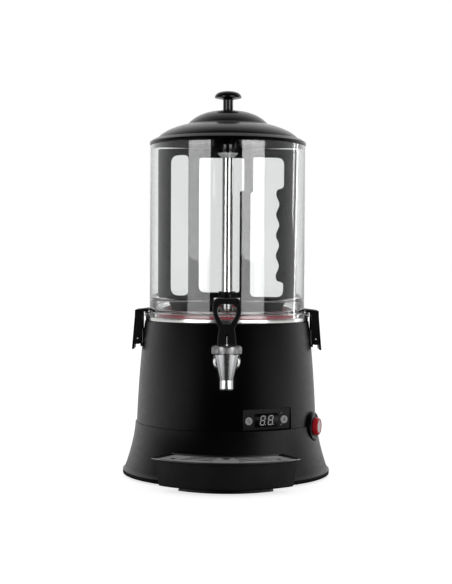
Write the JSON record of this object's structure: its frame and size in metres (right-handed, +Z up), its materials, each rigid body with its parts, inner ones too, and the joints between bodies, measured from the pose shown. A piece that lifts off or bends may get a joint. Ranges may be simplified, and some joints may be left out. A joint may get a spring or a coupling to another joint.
{
  "type": "hot chocolate dispenser",
  "caption": "Ten litre hot chocolate dispenser: black two-shell base, clear bowl with a turning stirring frame, domed lid, lever tap, digital panel and drip tray.",
  "frame": {"origin": "centre of the bounding box at the table, midway between the tray's front and the skirt's rear; the machine axis stands 28.3 mm behind it", "axes": "+Z up along the machine axis, -Y towards the tap and the user, +X to the user's right"},
  "size_m": [0.312, 0.3686, 0.5803],
  "materials": {
    "satin_black": "satin",
    "gloss_black": "glossy",
    "black_rubber": "matte",
    "steel": "satin",
    "cast_chrome": "satin",
    "clear_plastic": "clear, polished",
    "red_silicone": "satin",
    "red_lens": "translucent, polished",
    "pale_key": "satin",
    "board": "satin",
    "motor_metal": "satin",
    "white_nylon": "satin"
  },
  "bodies": {
    "base": {"bottom_plate": "satin_black", "rubber_foot_1": "black_rubber", "rubber_foot_2": "black_rubber", "rubber_foot_3": "black_rubber", "rubber_foot_4": "black_rubber", "plate_screw_1": "steel", "plate_screw_2": "steel", "plate_screw_3": "steel", "plate_screw_4": "steel", "lower_skirt": "satin_black", "upper_shell": "satin_black", "product_pan": "steel", "bowl": "clear_plastic", "bowl_gasket": "red_silicone", "column_tube": "steel", "column_nut": "steel", "heater_ring": "motor_metal", "temperature_probe": "steel", "motor_bridge": "steel", "motor": "motor_metal", "gearbox": "motor_metal", "tap_body": "cast_chrome", "tap_flange": "steel", "shell_nut": "steel", "pan_nut": "steel", "tap_bonnet": "steel", "valve_spring": "steel", "control_panel": "gloss_black", "display_window": "gloss_black", "circuit_board": "board", "power_bezel": "gloss_black", "power_body": "white_nylon", "cable_gland": "gloss_black", "gland_nut": "gloss_black", "terminal_block": "white_nylon", "latch_bracket_right": "steel", "latch_pin_right": "steel", "latch_spring_right": "steel", "latch_bracket_left": "steel", "latch_pin_left": "steel", "latch_spring_left": "steel"},
    "lid": {"lid": "gloss_black", "lid_knob": "gloss_black", "knob_screw": "steel"},
    "agitator": {"agitator_frame": "gloss_black", "agitator_cap": "gloss_black", "drive_shaft": "steel"},
    "valve": {"valve_stem": "steel", "valve_plug": "black_rubber"},
    "lever": {"tap_lever": "gloss_black", "lever_pin": "steel"},
    "key_left": {"key_left": "pale_key"},
    "key_right": {"key_right": "pale_key"},
    "power_cap": {"power_cap": "red_lens"},
    "latch_right": {"latch_right": "satin_black"},
    "latch_left": {"latch_left": "satin_black"},
    "tray": {"drip_tray": "satin_black"},
    "grille": {"drip_grille": "satin_black"}
  },
  "joints": [
    {"name": "lid_lift", "type": "slide", "parent": "base", "child": "lid", "axis": [0, 0, 1], "range_m": [0, 0.12]},
    {"name": "agitator_spin", "type": "hinge", "parent": "base", "child": "agitator", "pos_m": [0, 0.0283, 0.3], "axis": [0, 0, 1], "continuous": true},
    {"name": "stem_lift", "type": "slide", "parent": "base", "child": "valve", "axis": [0, 0, 1], "range_m": [0, 0.0045], "deforming": ["valve_spring"]},
    {"name": "lever_tilt", "type": "hinge", "parent": "valve", "child": "lever", "pos_m": [0, -0.1317, 0.213], "axis": [1, 0, 0], "range_deg": [0, 35], "stiffness_Nm_per_rad": 0.3, "springref_deg": -11.46},
    {"name": "key_left_press", "type": "slide", "parent": "base", "child": "key_left", "axis": [-0.454, 0.891, 0], "range_m": [0, 0.0007], "stiffness_N_per_m": 400, "springref_m": -0.001},
    {"name": "key_right_press", "type": "slide", "parent": "base", "child": "key_right", "axis": [-0.454, 0.891, 0], "range_m": [0, 0.0007], "stiffness_N_per_m": 400, "springref_m": -0.001},
    {"name": "power_press", "type": "slide", "parent": "base", "child": "power_cap", "axis": [-0.9354, 0.3535, 0], "range_m": [0, 0.003], "stiffness_N_per_m": 500, "springref_m": -0.002},
    {"name": "latch_right_open", "type": "hinge", "parent": "base", "child": "latch_right", "pos_m": [0.1332, 0.0283, 0.2054], "axis": [0, 1, 0], "range_deg": [0, 30], "stiffness_Nm_per_rad": 0.5, "springref_deg": -11.46},
    {"name": "latch_left_open", "type": "hinge", "parent": "base", "child": "latch_left", "pos_m": [-0.1332, 0.0283, 0.2054], "axis": [0, -1, 0], "range_deg": [0, 30], "stiffness_Nm_per_rad": 0.5, "springref_deg": -11.46},
    {"name": "tray_slide", "type": "slide", "parent": "base", "child": "tray", "axis": [0, -1, 0], "range_m": [0, 0.12]},
    {"name": "grille_lift", "type": "slide", "parent": "tray", "child": "grille", "axis": [0, 0, 1], "range_m": [0, 0.06]}
  ],
  "couplings": [
    {"joint": "lever_tilt", "follows": "stem_lift", "rad_per_m": 135.5}
  ]
}
